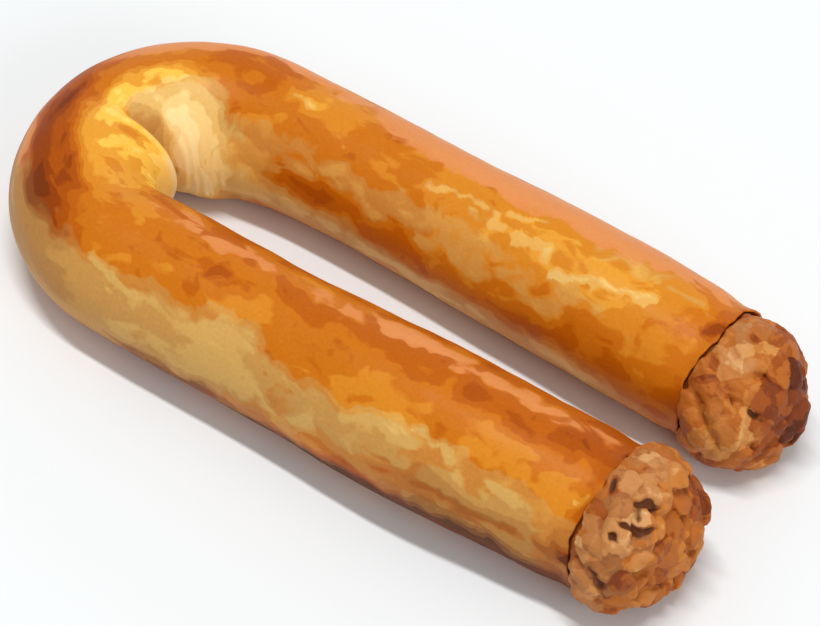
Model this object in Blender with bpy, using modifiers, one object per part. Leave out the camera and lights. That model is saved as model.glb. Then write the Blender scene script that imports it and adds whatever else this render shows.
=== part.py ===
"""A sausage bent double and cut at both ends, lying on the plane z = 0.

The casing is one thin open tube. The ground meat runs through it as a core and
swells out of each cut end as a craggy knob. Lengths are in metres, +Z is up, +X
runs along the legs towards the cut ends, and the origin is the middle of the base.
"""

import math

import bmesh
import bpy
from mathutils import Vector, noise

# Middle line: a near leg (-Y side), a bend and a far leg (+Y side), seen from above.
BEND_RADIUS = 0.0266
TOE_IN = math.radians(1.2)
NEAR_LEG = 0.1335
FAR_LEG = 0.1283
BEND_CENTRE = Vector((-0.0538, 0.0010))
BEND_LENGTH = BEND_RADIUS * (math.pi + 2 * TOE_IN)
LENGTH = NEAR_LEG + BEND_LENGTH + FAR_LEG

# Sections along the middle line, from the near cut: share of the length, radius there,
# and how far the middle line bows outward there.
SECTIONS = (
    (0.00, 0.0173, 0.0002),
    (0.14, 0.0186, 0.0021),
    (0.27, 0.0175, 0.0016),
    (0.38, 0.0174, 0.0009),
    (0.50, 0.0168, 0.0003),
    (0.63, 0.0160, 0.0009),
    (0.76, 0.0161, 0.0016),
    (0.87, 0.0169, 0.0015),
    (0.94, 0.0169, 0.0013),
    (1.00, 0.0161, 0.0014),
)

# A section's angle is 0 on its outer side, 90 on top and 180 on its inner side. The
# sausage sinks by SINK into its base plane, which leaves a flat strip to rest on.
SIDES = 24
SINK = 0.0004
WALL = 0.0009
GAP = 0.00035

# Soft unevenness of the surface, which fades out towards the base.
WAVE = 0.0004
WAVE_LENGTH = 0.034
WAVE_FADE = (-1.0, -0.4)

# The casing folds once across the inner side of the bend, between two soft lobes. The
# meat stands back a little more behind the fold, by FOLD_SLACK.
FOLD_TURN = math.radians(13)
FOLD_LEAN = math.radians(14)
FOLD_DEPTH = 0.0027
FOLD_WIDTH = math.radians(10)
FOLD_SLACK = 0.0014
FOLD_SLACK_WIDTH = math.radians(16)
FOLD_SIDE = math.radians(165)
FOLD_SPREAD = math.radians(62)
FOLD_CREST = (math.radians(180), math.radians(110))
LOBES = (
    # turn from the fold, its width, section angle, its width, height
    (math.radians(-30), math.radians(26), math.radians(165), math.radians(62), 0.0034),
    (math.radians(52), math.radians(38), math.radians(212), math.radians(52), 0.0048),
)

# Spacing of the rings: fine at the fold, coarse along the legs.
RING_STEP = 0.0013
RING_GROWTH = 0.10
RING_STEP_MOST = 0.0068

# The cut edge of the casing draws back unevenly from the cut, by up to EDGE_PULL.
EDGE_PULL = 0.0020
EDGE_STEP = 0.0052
NEAR_EDGE = 0.6
FAR_EDGE = 2.1

# Knobs of meat: rounded domes in front (superellipse power DOME) with a nearly flat back
# (power BACK) that starts NECK past the cut. Each has its widest radius, the place of the
# widest ring and its full reach past the cut, the shift of its axis outward and up, and
# how much farther its outer side and its top reach. Its lumps are (section angle, tilt
# from the axis, width, height), in degrees and metres, with pits as negative heights.
KNOB_DETAIL = 4
NECK = 0.0006
OVERLAP = 0.0030
DOME = 2.1
BACK = 4.0
LUMP_SIZE = 0.0070
LUMP_HEIGHT = 0.0032
NEAR_KNOB = {
    "radius": 0.0194,
    "widest": 0.0032,
    "reach": 0.0168,
    "shift": (0.0, 0.0008),
    "lean": (-0.0024, -0.0026),
    "seed": Vector((3.1, 0.4, 7.7)),
    "lumps": (
        (120, 30, 16, -0.0030),
        (150, 62, 18, -0.0020),
        (40, 64, 24, 0.0014),
    ),
}
FAR_KNOB = {
    "radius": 0.0174,
    "widest": 0.0040,
    "reach": 0.0198,
    "shift": (-0.0013, -0.0007),
    "lean": (-0.0010, -0.0032),
    "seed": Vector((11.3, 5.9, 2.2)),
    "lumps": (
        (185, 34, 18, -0.0026),
        (70, 42, 24, 0.0024),
        (110, 66, 18, -0.0018),
    ),
}

# Looks: colour and roughness.
CASING_LOOK = ((0.60, 0.20, 0.024, 1.0), 0.38)
MEAT_LOOK = ((0.42, 0.14, 0.045, 1.0), 0.62)


def smoothstep(low, high, value):
    """Ease from 0 at low to 1 at high."""
    share = min(max((value - low) / (high - low), 0.0), 1.0)
    return share * share * (3 - 2 * share)


def bell(offset, width):
    """A smooth hump of height 1 and the given width."""
    return math.exp(-((offset / width) ** 2))


def along(rows, share, column):
    """Catmull-Rom curve through one column of evenly read rows."""
    last = len(rows) - 2
    index = next((i for i in range(last) if share < rows[i + 1][0]), last)
    near, far = rows[index], rows[index + 1]
    before = rows[max(index - 1, 0)]
    after = rows[min(index + 2, last + 1)]
    span = far[0] - near[0]
    t = (share - near[0]) / span
    slope_near = (far[column] - before[column]) / (far[0] - before[0]) * span
    slope_far = (after[column] - near[column]) / (after[0] - near[0]) * span
    return (
        (2 * t**3 - 3 * t**2 + 1) * near[column]
        + (t**3 - 2 * t**2 + t) * slope_near
        + (3 * t**2 - 2 * t**3) * far[column]
        + (t**3 - t**2) * slope_far
    )


def turn_at(place):
    """Angle round the bend: 0 at its far point, minus on the near side."""
    return (place - NEAR_LEG) / BEND_RADIUS - (math.pi / 2 + TOE_IN)


def middle_line(place):
    """Point of the plain middle line and its outward direction, seen from above."""
    turn = turn_at(min(max(place, NEAR_LEG), NEAR_LEG + BEND_LENGTH))
    outward = Vector((-math.cos(turn), math.sin(turn)))
    onward = Vector((math.sin(turn), math.cos(turn)))
    straight = min(place - NEAR_LEG, 0.0) + max(place - NEAR_LEG - BEND_LENGTH, 0.0)
    return BEND_CENTRE + outward * BEND_RADIUS + onward * straight, outward


def section(place):
    """Centre, outward direction and radius of the round section at a place."""
    share = min(max(place / LENGTH, 0.0), 1.0)
    radius = along(SECTIONS, share, 1)
    point, outward = middle_line(place)
    point = point + outward * along(SECTIONS, share, 2)
    return Vector((*point, radius - SINK)), Vector((*outward, 0.0)), radius


def fold_offset(place, angle):
    """Angle round the bend from the fold, which leans back towards the crest."""
    crest = smoothstep(*FOLD_CREST, angle)
    return turn_at(place) - FOLD_TURN + FOLD_LEAN * crest


def fold_relief(place, angle):
    """Height of the lobes and depth of the fold on the inner side of the bend."""
    offset = fold_offset(place, angle)
    relief = -FOLD_DEPTH * bell(angle - FOLD_SIDE, FOLD_SPREAD) * bell(offset, FOLD_WIDTH)
    for turn, turn_width, side, side_width, height in LOBES:
        relief += height * bell(offset - turn, turn_width) * bell(angle - side, side_width)
    return relief


def ray(outward, angle):
    """Direction of a section angle."""
    return outward * math.cos(angle) + Vector((0, 0, math.sin(angle)))


def tube_point(place, angle, inset, lowest):
    """Point of the tube's surface, inset by a depth, no lower than lowest."""
    centre, outward, radius = section(place)
    direction = ray(outward, angle)
    raised = smoothstep(*WAVE_FADE, math.sin(angle))
    wave = WAVE * raised * noise.noise((centre + direction * radius) / WAVE_LENGTH)
    point = centre + direction * (radius + fold_relief(place, angle) + wave - inset)
    point.z = max(point.z, lowest)
    return point


def ring_angles():
    """Section angles of a ring: two of them straddle the bottom."""
    return [2 * math.pi * (side + 0.5) / SIDES for side in range(SIDES)]


def ring_places(start, stop):
    """Places of the rings, closest at the fold, with both ends exactly kept."""
    fold = NEAR_LEG + (FOLD_TURN + math.pi / 2 + TOE_IN) * BEND_RADIUS
    places = [start]
    while places[-1] < stop:
        step = RING_STEP + RING_GROWTH * abs(places[-1] - fold)
        places.append(places[-1] + min(step, RING_STEP_MOST))
    stretch = (stop - start) / (places[-1] - start)
    return [start + (place - start) * stretch for place in places]


def edge_pull(angle, phase):
    """How far the casing's cut edge draws back at an angle: two waves, 0 to EDGE_PULL."""
    waves = 0.3 * math.sin(2 * angle + phase) + 0.2 * math.sin(5 * angle - 2 * phase)
    return EDGE_PULL * (0.5 + waves)


def fill_rings(mesh, rings):
    """Join neighbouring rings with faces that point out."""
    for ring, following in zip(rings, rings[1:]):
        for side in range(SIDES):
            after = (side + 1) % SIDES
            mesh.faces.new((ring[side], ring[after], following[after], following[side]))


def new_object(name, mesh, collection, material=None):
    """Put a finished bmesh in the scene as a smooth object."""
    data = bpy.data.meshes.new(name)
    mesh.to_mesh(data)
    mesh.free()
    data.shade_smooth()
    if material:
        data.materials.append(material)
    obj = bpy.data.objects.new(name, data)
    collection.objects.link(obj)
    return obj


def casing(collection, material):
    """The skin: an open tube with wavy cut edges, thickened inward."""
    mesh = bmesh.new()
    angles = ring_angles()
    rings = [[mesh.verts.new(tube_point(edge_pull(a, NEAR_EDGE), a, 0, 0)) for a in angles]]
    for place in ring_places(EDGE_STEP, LENGTH - EDGE_STEP):
        rings.append([mesh.verts.new(tube_point(place, a, 0, 0)) for a in angles])
    far_edge = [tube_point(LENGTH - edge_pull(a, FAR_EDGE), a, 0, 0) for a in angles]
    rings.append([mesh.verts.new(point) for point in far_edge])
    fill_rings(mesh, rings)
    skin = new_object("casing", mesh, collection, material)
    wall = skin.modifiers.new("Wall", "SOLIDIFY")
    wall.thickness = WALL
    wall.offset = -1
    wall.use_even_offset = True
    return skin


def core(collection):
    """The meat inside the casing, reaching a little way into both knobs."""
    mesh = bmesh.new()
    rings = []
    for place in ring_places(-OVERLAP, LENGTH + OVERLAP):
        ring = []
        for angle in ring_angles():
            slack = FOLD_SLACK * bell(angle - FOLD_SIDE, FOLD_SPREAD)
            slack *= bell(fold_offset(place, angle), FOLD_SLACK_WIDTH)
            inset = WALL + GAP + slack
            ring.append(mesh.verts.new(tube_point(place, angle, inset, WALL + GAP)))
        rings.append(ring)
    fill_rings(mesh, rings)
    mesh.faces.new(reversed(rings[0]))
    mesh.faces.new(rings[-1])
    return new_object("core", mesh, collection)


def lump_height(form, point, angle, tilt):
    """Relief of the ground meat: cells of mince, with the knob's own lumps and pits."""
    to_nearest = noise.voronoi(point / LUMP_SIZE + form["seed"])[0][0]
    height = LUMP_HEIGHT * (0.5 - to_nearest)
    for lump_angle, lump_tilt, width, rise in form["lumps"]:
        swing = math.radians(lump_angle) - angle
        apart = math.hypot(lump_tilt - tilt * math.cos(swing), tilt * math.sin(swing))
        height += rise * bell(apart, width)
    return height


def knob(name, place, form, collection):
    """One craggy end of the meat: a lumpy rounded cap wider than the casing."""
    centre, outward, _ = section(place)
    axis = Vector((outward.y, -outward.x, 0)) * (-1 if place == 0 else 1)
    shift_out, shift_up = form["shift"]
    centre = centre + outward * shift_out + Vector((0, 0, shift_up))
    widest, reach = form["widest"], form["reach"]
    lean_out, lean_up = form["lean"]
    mesh = bmesh.new()
    bmesh.ops.create_icosphere(mesh, subdivisions=KNOB_DETAIL, radius=1)
    for vert in mesh.verts:
        forward, sideways, upward = vert.co
        angle = math.atan2(upward, sideways)
        tilt = math.degrees(math.acos(min(max(forward, -1), 1)))
        power = 2 / (DOME if forward > 0 else BACK)
        depth = reach - widest if forward > 0 else widest - NECK
        ahead = math.copysign(depth * abs(forward) ** power, forward)
        around = math.sqrt(max(1 - forward**2, 0)) ** power
        lean = around * (math.cos(angle) * lean_out + math.sin(angle) * lean_up)
        ahead += widest + lean * smoothstep(0, reach, ahead)
        point = centre + axis * ahead + ray(outward, angle) * around * form["radius"]
        away = (point - centre - axis * widest).normalized()
        point += away * lump_height(form, point, angle, tilt) * smoothstep(NECK, widest, ahead)
        point.z = max(point.z, 0.0)
        vert.co = point
    bmesh.ops.recalc_face_normals(mesh, faces=mesh.faces)
    return new_object(name, mesh, collection)


def filling(collection, material):
    """Core and knobs, joined into one piece of meat."""
    pieces = bpy.data.collections.new("Filling pieces")
    bpy.context.scene.collection.children.link(pieces)
    knob("near_knob", 0, NEAR_KNOB, pieces)
    knob("far_knob", LENGTH, FAR_KNOB, pieces)
    meat = core(collection)
    meat.name = "filling"
    meat.data.materials.append(material)
    union = meat.modifiers.new("Union", "BOOLEAN")
    union.operand_type = "COLLECTION"
    union.collection = pieces
    union.operation = "UNION"
    union.solver = "EXACT"
    bpy.context.view_layer.update()
    evaluated = meat.evaluated_get(bpy.context.evaluated_depsgraph_get())
    joined = bpy.data.meshes.new_from_object(evaluated)
    meat.modifiers.clear()
    meat.data = joined
    for piece in list(pieces.objects):
        bpy.data.objects.remove(piece)
    bpy.data.collections.remove(pieces)
    return meat


def material(name, colour, roughness):
    """A plain Principled material."""
    made = bpy.data.materials.new(name)
    made.use_nodes = True
    shader = made.node_tree.nodes["Principled BSDF"]
    shader.inputs["Base Color"].default_value = colour
    shader.inputs["Roughness"].default_value = roughness
    shader.inputs["Metallic"].default_value = 0.0
    return made


def main():
    for obj in list(bpy.data.objects):
        bpy.data.objects.remove(obj)
    sausage = bpy.data.collections.new("Sausage")
    bpy.context.scene.collection.children.link(sausage)
    casing(sausage, material("Casing", *CASING_LOOK))
    filling(sausage, material("Ground meat", *MEAT_LOOK))


main()
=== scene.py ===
"""Looks of a bent sausage: the browned casing, the coarse meat at its two cuts, the pale
floor that it lies on, the light and the camera.

Lengths are in metres, in the frame of the solids: +X along the legs towards the cuts, +Y
from the near leg to the far leg, +Z up. The tables of colour patches and streaks are in
millimetres.
"""

import math
import random

import bmesh
import bpy
import numpy as np
from mathutils import Matrix, Vector, noise
from mathutils.kdtree import KDTree


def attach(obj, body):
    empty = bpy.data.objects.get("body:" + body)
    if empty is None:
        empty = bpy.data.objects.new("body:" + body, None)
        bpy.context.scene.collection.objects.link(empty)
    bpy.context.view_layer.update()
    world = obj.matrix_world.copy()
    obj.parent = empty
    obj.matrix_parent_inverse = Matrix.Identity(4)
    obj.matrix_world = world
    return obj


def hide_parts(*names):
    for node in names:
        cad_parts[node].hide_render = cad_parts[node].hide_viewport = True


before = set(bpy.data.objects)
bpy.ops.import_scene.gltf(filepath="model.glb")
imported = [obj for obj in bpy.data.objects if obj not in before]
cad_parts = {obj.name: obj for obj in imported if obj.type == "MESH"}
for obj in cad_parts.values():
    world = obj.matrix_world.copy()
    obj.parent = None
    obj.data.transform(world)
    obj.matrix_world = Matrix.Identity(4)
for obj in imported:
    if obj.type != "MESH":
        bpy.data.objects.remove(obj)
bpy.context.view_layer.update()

MM = 0.001

# ---------------------------------------------------------------- form, as in the solids

BEND_RADIUS = 0.0266
TOE_IN = math.radians(1.2)
NEAR_LEG = 0.1335
FAR_LEG = 0.1283
BEND_CENTRE = np.array((-0.0538, 0.0010))
BEND_LENGTH = BEND_RADIUS * (math.pi + 2 * TOE_IN)
LENGTH = NEAR_LEG + BEND_LENGTH + FAR_LEG

# Share of the length from the near cut, radius, and outward bow of the middle line.
SECTIONS = np.array((
    (0.00, 0.0173, 0.0002),
    (0.14, 0.0186, 0.0021),
    (0.27, 0.0175, 0.0016),
    (0.38, 0.0174, 0.0009),
    (0.50, 0.0168, 0.0003),
    (0.63, 0.0160, 0.0009),
    (0.76, 0.0161, 0.0016),
    (0.87, 0.0169, 0.0015),
    (0.94, 0.0169, 0.0013),
    (1.00, 0.0161, 0.0014),
))
SINK = 0.0004
WALL = 0.0009

# A section's angle is 0 on its outer side, 90 on top and 180 on its inner side.
FOLD_TURN = math.radians(13)
FOLD_LEAN = math.radians(14)
FOLD_CREST = np.radians((180, 110))
FOLD_DEPTH = 0.0027
FOLD_WIDTH = math.radians(10)
FOLD_SIDE = math.radians(165)
FOLD_SPREAD = math.radians(62)
FOLD_SLACK = 0.0014
FOLD_SLACK_WIDTH = math.radians(16)
LOBES = (
    # turn from the fold, its width, section angle and its width in degrees, height
    (-30, 26, 165, 62, 0.0034),
    (52, 38, 212, 52, 0.0048),
)


def smoothstep(low, high, value):
    share = np.clip((value - low) / (high - low), 0, 1)
    return share * share * (3 - 2 * share)


def bell(offset, width):
    return np.exp(-((offset / width) ** 2))


def along(share, column):
    """Smooth curve through one column of the sections."""
    x, y = SECTIONS[:, 0], SECTIONS[:, column]
    slope = np.empty_like(y)
    slope[1:-1] = (y[2:] - y[:-2]) / (x[2:] - x[:-2])
    slope[0] = (y[1] - y[0]) / (x[1] - x[0])
    slope[-1] = (y[-1] - y[-2]) / (x[-1] - x[-2])
    i = np.clip(np.searchsorted(x, share, side="right") - 1, 0, len(x) - 2)
    span = x[i + 1] - x[i]
    t = (share - x[i]) / span
    return (
        (2 * t**3 - 3 * t**2 + 1) * y[i]
        + (t**3 - 2 * t**2 + t) * slope[i] * span
        + (3 * t**2 - 2 * t**3) * y[i + 1]
        + (t**3 - t**2) * slope[i + 1] * span
    )


def turn_at(place):
    """Angle round the bend: 0 at its far point, minus on the near side."""
    return (place - NEAR_LEG) / BEND_RADIUS - (math.pi / 2 + TOE_IN)


def section(place):
    """Centre, outward direction and radius of the sections at an array of places."""
    turn = turn_at(np.clip(place, NEAR_LEG, NEAR_LEG + BEND_LENGTH))
    outward = np.stack((-np.cos(turn), np.sin(turn), 0 * turn), -1)
    onward = np.stack((np.sin(turn), np.cos(turn), 0 * turn), -1)
    straight = np.minimum(place - NEAR_LEG, 0) + np.maximum(place - NEAR_LEG - BEND_LENGTH, 0)
    share = np.clip(place / LENGTH, 0, 1)
    radius = along(share, 1)
    centre = outward * (BEND_RADIUS + along(share, 2))[..., None] + onward * straight[..., None]
    centre[..., :2] += BEND_CENTRE
    centre[..., 2] = radius - SINK
    return centre, outward, radius


def fold_offset(place, angle):
    return turn_at(place) - FOLD_TURN + FOLD_LEAN * smoothstep(*FOLD_CREST, angle)


def fold_relief(place, angle):
    """Lobes and fold on the inner side of the bend."""
    offset = fold_offset(place, angle)
    relief = -FOLD_DEPTH * bell(angle - FOLD_SIDE, FOLD_SPREAD) * bell(offset, FOLD_WIDTH)
    for *degrees, height in LOBES:
        turn, turn_width, side, side_width = np.radians(degrees)
        relief = relief + height * bell(offset - turn, turn_width) * bell(angle - side, side_width)
    return relief


def ray(outward, angle):
    direction = outward * np.cos(angle)[..., None]
    direction[..., 2] += np.sin(angle)
    return direction


def noise_field(points, size, seed=0.0):
    """Smooth noise, about -1 to 1, at an array of points."""
    flat = (points / size + seed).reshape(-1, 3)
    values = [noise.noise(Vector(point)) for point in flat]
    return np.array(values).reshape(points.shape[:-1])


# ---------------------------------------------------------------- mesh helpers


def make_object(name, data, material):
    obj = bpy.data.objects.new(name, data)
    bpy.context.scene.collection.objects.link(obj)
    if material:
        data.materials.append(material)
    data.shade_smooth()
    return obj


def grid_faces(rings, sides, closed):
    """Quads between neighbouring rings of points, with normals that point out."""
    faces = []
    for ring in range(rings if closed else rings - 1):
        here, there = ring * sides, ((ring + 1) % rings) * sides
        for side in range(sides):
            after = (side + 1) % sides
            faces.append((here + side, here + after, there + after, there + side))
    return faces


def capped_faces(rings, sides):
    """Faces of a tube of rings, with one face across each end."""
    faces = grid_faces(rings, sides, closed=False)
    faces.append(list(range(sides))[::-1])
    faces.append(list(range((rings - 1) * sides, rings * sides)))
    return faces


def store(data, name, values):
    """Keep one number or vector for each point of a mesh."""
    kind = "FLOAT_VECTOR" if values.ndim == 2 else "FLOAT"
    attribute = data.attributes.new(name, kind, "POINT")
    key = "vector" if values.ndim == 2 else "value"
    attribute.data.foreach_set(key, np.ascontiguousarray(values, np.float32).ravel())


# ---------------------------------------------------------------- casing

SIDES = 144
RING_STEP = 0.00042
RING_GROWTH = 0.012
RING_STEP_MOST = 0.00075
INNER_STEP = 0.003
EDGE_PULL = 0.0020
NEAR_EDGE = 0.6
FAR_EDGE = 2.1
EDGE_REACH = 0.006
# Ragged line of a cut edge: share of the pull, waves round the edge, turns of its phase.
EDGE_MEAN = 0.5
EDGE_WAVES = ((0.3, 2, 1), (0.2, 5, -2), (0.10, 13, 3), (0.06, 29, 1))
EDGE_WALL = 0.0005
EDGE_TAPER = (0.001, 0.006)
LIP_TURNS = np.radians((30, 60, 90, 120, 150))
WAVE = 0.0004
WAVE_LENGTH = 0.034
UNDERSIDE = (-1.0, -0.4)
# Coarse meat pushing at the skin: height, size along and around, seed.
MEAT_BUMPS = (
    (0.00024, (0.0130, 0.0090, 0.0090), 3.7),
    (0.00010, (0.0052, 0.0036, 0.0036), 8.1),
)
PUCKER_HEIGHT = 0.00010
PUCKER_SPACING = math.radians(14)
PUCKER_SPREAD = math.radians(62)
PUCKER_SIDE = math.radians(170)
PUCKER_SIDE_WIDTH = math.radians(70)
PUCKER_WANDER = 0.10
PUCKER_WANDER_SIZE = 0.012
CREASE_DEPTH = 0.0017
CREASE_WIDTH = 0.0010
CREASE_SPAN = np.radians((102, 126))
CREASE_END = np.radians((225, 245))
SHOULDER_HEIGHT = 0.0013
SHOULDER_PLACE = 0.0028
SHOULDER_WIDTH = 0.0024
RIM_LIFT = 0.00035
RIM_LIFT_REACH = 0.0016
RIM_DIP_PLACE = 0.0045
RIM_DIP_REACH = 0.0030


def edge_pull(angle, phase):
    """How far the cut edge draws back at an angle, as in the solids, and its ragged line."""
    share = EDGE_MEAN
    for amount, waves, turns in EDGE_WAVES:
        share = share + amount * np.sin(waves * angle + turns * phase)
    return EDGE_PULL * share


def ring_places(step, growth, most):
    """Places of the rings, closest at the fold."""
    fold = NEAR_LEG + (FOLD_TURN + math.pi / 2 + TOE_IN) * BEND_RADIUS
    places = [0.0]
    while places[-1] < LENGTH:
        places.append(places[-1] + min(step + growth * abs(places[-1] - fold), most))
    return np.array(places) * LENGTH / places[-1]


def past_fold(place, angle):
    """Distance along the surface from the fold's crease, minus on the near side."""
    from_bend = BEND_RADIUS + np.cos(angle) * section(place)[2]
    return fold_offset(place, angle) * from_bend


def creased(angle):
    """1 where the crease is full, 0 where the fold has no crease."""
    return smoothstep(*CREASE_SPAN, angle) * (1 - smoothstep(*CREASE_END, angle))


def crease(place, angle):
    """Sharp line along the fold, and the round shoulder of the lobe before it."""
    across = past_fold(place, angle)
    around = creased(angle)
    cut = CREASE_DEPTH * np.exp(-np.abs(across) / CREASE_WIDTH)
    return around * (SHOULDER_HEIGHT * bell(across + SHOULDER_PLACE, SHOULDER_WIDTH) - cut)


def skin_relief(place, angle, straight, surface):
    """Fine relief of the casing, on top of the form that the solids have."""
    raised = smoothstep(*UNDERSIDE, np.sin(angle))
    relief = WAVE * raised * noise_field(surface, WAVE_LENGTH)
    for height, size, seed in MEAT_BUMPS:
        relief += height * noise_field(straight, np.array(size), seed)
    # Faint puckers across the inner side of the bend, gathered by the fold.
    offset = fold_offset(place, angle)
    inner = bell(angle - PUCKER_SIDE, PUCKER_SIDE_WIDTH) * bell(offset, PUCKER_SPREAD)
    bent = offset + PUCKER_WANDER * noise_field(straight, PUCKER_WANDER_SIZE, seed=5.5)
    gathered = np.sin(2 * math.pi * bent / PUCKER_SPACING) * (1 - bell(offset, FOLD_WIDTH))
    relief += PUCKER_HEIGHT * inner * gathered + crease(place, angle)
    # The skin shrinks a little behind the cut and lifts at its edge.
    depth = np.minimum(place, LENGTH - place)
    relief += RIM_LIFT * (bell(depth, RIM_LIFT_REACH) - bell(depth - RIM_DIP_PLACE, RIM_DIP_REACH))
    return relief


def skin_points(place, angle, inset, relief):
    centre, outward, radius = section(place)
    reach = radius + fold_relief(place, angle) + relief - inset
    point = centre + ray(outward, angle) * reach[..., None]
    point[..., 2] = np.maximum(point[..., 2], inset)
    return point


def straightened(place, angle):
    """Coordinates of the sausage as if it lay straight, for patterns that follow it."""
    _, _, radius = section(place)
    return np.stack((place, radius * np.cos(angle), radius * np.sin(angle)), -1)


def drawn_back(places, angles):
    """Grid of places and angles whose two ends follow the ragged cut edges."""
    place, angle = np.meshgrid(places, angles, indexing="ij")
    near = edge_pull(angle, NEAR_EDGE) * np.exp(-place / EDGE_REACH)
    far = edge_pull(angle, FAR_EDGE) * np.exp(-(LENGTH - place) / EDGE_REACH)
    return place + near - far, angle


def lip(edge_place, angle, relief, direction):
    """Rounded rim from the outer surface to the inner one, past an edge."""
    rings = []
    for across in LIP_TURNS:
        place = edge_place + direction * EDGE_WALL / 2 * math.sin(across)
        inset = np.full_like(place, EDGE_WALL / 2 * (1 - math.cos(across)))
        rings.append((place, angle, inset, relief))
    return rings


def inner_rings(angles, relief):
    """Rings of the casing's inner surface, from the far cut back to the near one."""
    place, angle = drawn_back(ring_places(INNER_STEP, 0, INNER_STEP)[::-1], angles)
    depth = np.minimum(place, LENGTH - place)
    inset = EDGE_WALL + (WALL - EDGE_WALL) * smoothstep(*EDGE_TAPER, depth)
    slack = (FOLD_SLACK - WALL / 2) * bell(angle - FOLD_SIDE, FOLD_SPREAD)
    inset = inset + slack * bell(fold_offset(place, angle), FOLD_SLACK_WIDTH)
    ends = bell(depth, RIM_LIFT_REACH)
    inner_relief = ends * np.where(place > LENGTH / 2, relief[-1], relief[0])
    return list(zip(place, angle, inset, inner_relief))


def build_skin(material):
    angles = 2 * math.pi * (np.arange(SIDES) + 0.5) / SIDES
    place, angle = drawn_back(ring_places(RING_STEP, RING_GROWTH, RING_STEP_MOST), angles)
    centre, outward, radius = section(place)
    surface = centre + ray(outward, angle) * radius[..., None]
    relief = skin_relief(place, angle, straightened(place, angle), surface)
    rings = list(zip(place, angle, np.zeros_like(place), relief))
    rings += lip(place[-1], angles, relief[-1], 1)
    rings += inner_rings(angles, relief)
    rings += lip(place[0], angles, relief[0], -1)[::-1]
    place, angle, inset, relief = (np.array(values) for values in zip(*rings))
    points = skin_points(place, angle, inset, relief)
    data = bpy.data.meshes.new("sausage_skin")
    data.from_pydata(points.reshape(-1, 3), [], grid_faces(len(points), SIDES, closed=True))
    store(data, "straight", straightened(place, angle).reshape(-1, 3))
    for name, field in skin_tones(place, angle).items():
        store(data, name, field.ravel())
    return make_object("sausage_skin", data, material)


# ---------------------------------------------------------------- colour fields

# Tone of the casing, its browning together with painted light and shade: 0 is the darkest
# colour and 1 the palest.
TONE_BASE = 0.532
# Soft patches of the casing: place and section angle in degrees, half length and half
# width along the surface, and amount. Lengths in millimetres.
TONE = (
    # near leg: dark inner side, browned ridge, golden flank, pale lower side, and a dark band
    # of painted contact shade along its base
    (65, 136, 80, 4.8, -0.16),
    (3, 116, 15, 14, -0.22),
    (40, 92, 46, 4.6, -0.14),
    (100, 86, 24, 6.6, -0.13),
    (22, 62, 20, 5, 0.12),
    (1, 30, 5, 11, -0.18),
    (48, 42, 24, 3.2, 0.07),
    (22, 17, 28, 3.6, -0.11),
    (20, 6, 28, 5, -0.14),
    (86, 42, 12, 4, -0.10),
    (112, 40, 30, 5, 0.06),
    (116, 88, 12, 7, -0.06),
    (104, 8, 36, 6.5, 0.06),
    (150, 8, 18, 11, -0.12),
    # painted contact shade: the dark band along the near leg's base, where it meets the floor
    (34, 330, 52, 8, -0.56),
    (96, 326, 40, 4, -0.34),
    (106, 343, 20, 2.2, -0.30),
    (105, 352, 10, 2.6, -0.07),
    (118, 350, 22, 4, -0.06),
    (125, 82, 12, 6, -0.07),
    (65, 92, 10, 5, 0.06),
    (92, 350, 18, 3, -0.07),
    (70, 350, 10, 2.6, 0.10),
    # bend: darker outer side with its rim
    (157, 67, 19, 6.6, -0.31),
    (150, 50, 13, 3, -0.14),
    (177, 52, 12, 5.6, -0.26),
    (139, 90, 13, 9, 0.09),
    (148, 90, 9, 7, -0.08),
    (147, 48, 11, 5, -0.10),
    # far leg: browned by the bend, golden flank, brown band, brown lower side
    (184, 78, 6, 4, -0.10),
    (197, 84, 10, 6, 0.07),
    (212, 76, 16, 3.2, -0.09),
    (222, 120, 20, 8, -0.10),
    (230, 76, 10, 5, 0.06),
    (304, 98, 50, 11, 0.05),
    (308, 112, 40, 6, 0.05),
    (320, 85, 28, 8, 0.05),
    (286, 166, 62, 4.2, -0.12),
    (240, 163, 14, 3, -0.10),
    (314, 186, 9, 4, 0.09),
    (336, 150, 12, 6, -0.07),
    (338, 182, 13, 4.5, -0.14),
    (290, 150, 56, 8, 0.04),
    (285, 195, 62, 4.6, 0.13),
    (248, 180, 20, 3, 0.08),
    (345, 84, 6, 6, -0.12),
)
# Patches that end at the fold: the yellow lobe before it, and past it pale yellow skin
# that turns to beige. Part of their lightness is painted light, which brightens the lobe's
# shaded underside and the fold's shade past the crease.
LOBE_TONE = (
    (158, 120, 24, 12.5, 0.31),
    (175, 113, 10, 6.4, 0.18),
    (165.4, 136, 4.2, 6.2, -0.27),
    (156, 150, 6, 5, -0.26),
    (156, 110, 7, 6, 0.05),
    (158, 171, 28, 12.5, 0.47),
    (150, 134, 10, 8, -0.12),
)
INNER_TONE = (
    (183, 126, 8, 7, 0.12),
    (199, 129, 14, 8.8, 0.28),
    (190, 97, 8, 3.8, 0.26),
    (191, 156, 10, 8, 0.26),
    (208, 176, 22, 8.5, 0.29),
    (192, 186, 9, 7, 0.36),
    (196, 204, 18, 5.6, 0.40),
)
KHAKI = (
    (36, 34, 40, 5.6, 0.58),
    (60, 20, 14, 6, 0.42),
    (107, 33, 40, 7.2, 0.70),
    (104, 6, 44, 7.4, 0.70),
    (22, 6, 34, 6.6, 0.54),
    (34, 332, 52, 9, 0.60),
    (100, 336, 46, 7, 0.70),
    (78, 348, 30, 3.6, -0.55),
    (148, 12, 20, 12, 0.75),
    (285, 199, 62, 5.8, 0.58),
    (250, 181, 22, 3, 0.36),
    (246, 138, 26, 6.6, 0.34),
    (292, 138, 44, 6.2, 0.30),
    (322, 84, 26, 5, 0.30),
)
INNER_KHAKI = (
    (194, 136, 20, 10.4, 0.95),
    (204, 178, 30, 13, 0.72),
)
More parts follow.
